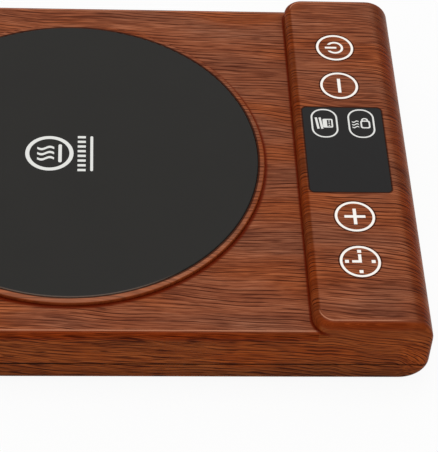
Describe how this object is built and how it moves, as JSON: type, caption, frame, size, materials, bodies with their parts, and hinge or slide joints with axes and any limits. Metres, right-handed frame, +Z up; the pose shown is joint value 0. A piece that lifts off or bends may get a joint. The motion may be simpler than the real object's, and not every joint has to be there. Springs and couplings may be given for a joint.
{
  "type": "electric mug warmer",
  "caption": "Flat electric mug warmer with a round heated plate in a wood-grain casing and a raised strip of flush push keys round a display window.",
  "frame": {"origin": "under the middle of the casing, on the plane that the feet stand on", "axes": "+X to the user's right, +Y away from the user towards the back and the cord entry, +Z up; the key strip is at the -Y end"},
  "size_m": [0.146, 0.184, 0.028],
  "materials": {
    "casing_wood": "printed wood grain, satin",
    "casing_base": "printed wood grain, satin",
    "plate_black": "black coated aluminium, satin",
    "white_print": "white print, matt",
    "legend_white": "translucent white inlay",
    "window_black": "smoked black, gloss",
    "silicone_red": "moulded silicone",
    "mica_tan": "mica sheet",
    "fibre_cream": "pressed ceramic fibre",
    "pressed_steel": "zinc-plated",
    "screw_steel": "zinc-plated",
    "ceramic_white": "glazed ceramic",
    "brass_can": "drawn brass",
    "tape_black": "foam adhesive",
    "module_grey": "moulded, matt",
    "box_white": "moulded, matt",
    "led_cream": "clear epoxy over phosphor",
    "board_green": "glass-fibre laminate with solder mask",
    "chip_black": "moulded epoxy",
    "switch_grey": "moulded, matt",
    "relay_blue": "moulded",
    "core_dark": "laminated core with taped winding",
    "film_yellow": "moulded box",
    "can_blue": "sleeved aluminium can",
    "fuse_glass": "clear tube with plated caps",
    "terminal_green": "moulded",
    "cable_grey": "flat cable with moulded plugs",
    "lead_white": "silicone insulation",
    "lead_red": "silicone insulation",
    "bush_black": "moulded rubber",
    "clamp_cream": "moulded, matt"
  },
  "bodies": {
    "casing": {"top_housing": "casing_wood", "bottom_housing": "casing_base", "heating_plate": "plate_black", "plate_marking": "white_print", "plate_seal": "silicone_red", "heating_element": "mica_tan", "insulation_pad": "fibre_cream", "heater_clamp_plate": "pressed_steel", "heater_clamp_screws": "screw_steel", "heater_terminals": "ceramic_white", "temperature_sensor": "brass_can", "sensor_clip": "pressed_steel", "thermal_fuse": "brass_can", "fuse_clip": "pressed_steel", "display_window": "window_black", "window_icons": "white_print", "window_tape": "tape_black", "display_module": "module_grey", "icon_light_box": "box_white", "indicator_leds": "led_cream", "control_board": "board_green", "control_board_screws": "screw_steel", "control_chip": "chip_black", "tact_switches": "switch_grey", "power_board": "board_green", "power_board_screws": "screw_steel", "power_relay": "relay_blue", "transformer": "core_dark", "film_capacitor": "film_yellow", "smoothing_capacitor": "can_blue", "mains_fuse": "fuse_glass", "fuse_holder": "brass_can", "terminal_block": "terminal_green", "ribbon_cable": "cable_grey", "heater_leads": "lead_white", "sensor_leads": "lead_red", "cord_bush": "bush_black", "cord_clamp": "clamp_cream", "cord_clamp_screws": "screw_steel", "rubber_feet": "bush_black", "housing_screws": "screw_steel"},
    "power_button": {"power_key": "casing_wood", "power_legend": "legend_white", "power_plunger": "switch_grey"},
    "minus_button": {"minus_key": "casing_wood", "minus_legend": "legend_white", "minus_plunger": "switch_grey"},
    "plus_button": {"plus_key": "casing_wood", "plus_legend": "legend_white", "plus_plunger": "switch_grey"},
    "timer_button": {"timer_key": "casing_wood", "timer_legend": "legend_white", "timer_plunger": "switch_grey"}
  },
  "joints": [
    {"name": "power_press", "type": "slide", "parent": "casing", "child": "power_button", "axis": [0, 0, -1], "range_m": [0, 0.0004], "stiffness_N_per_m": 2500},
    {"name": "minus_press", "type": "slide", "parent": "casing", "child": "minus_button", "axis": [0, 0, -1], "range_m": [0, 0.0004], "stiffness_N_per_m": 2500},
    {"name": "plus_press", "type": "slide", "parent": "casing", "child": "plus_button", "axis": [0, 0, -1], "range_m": [0, 0.0004], "stiffness_N_per_m": 2500},
    {"name": "timer_press", "type": "slide", "parent": "casing", "child": "timer_button", "axis": [0, 0, -1], "range_m": [0, 0.0004], "stiffness_N_per_m": 2500}
  ]
}
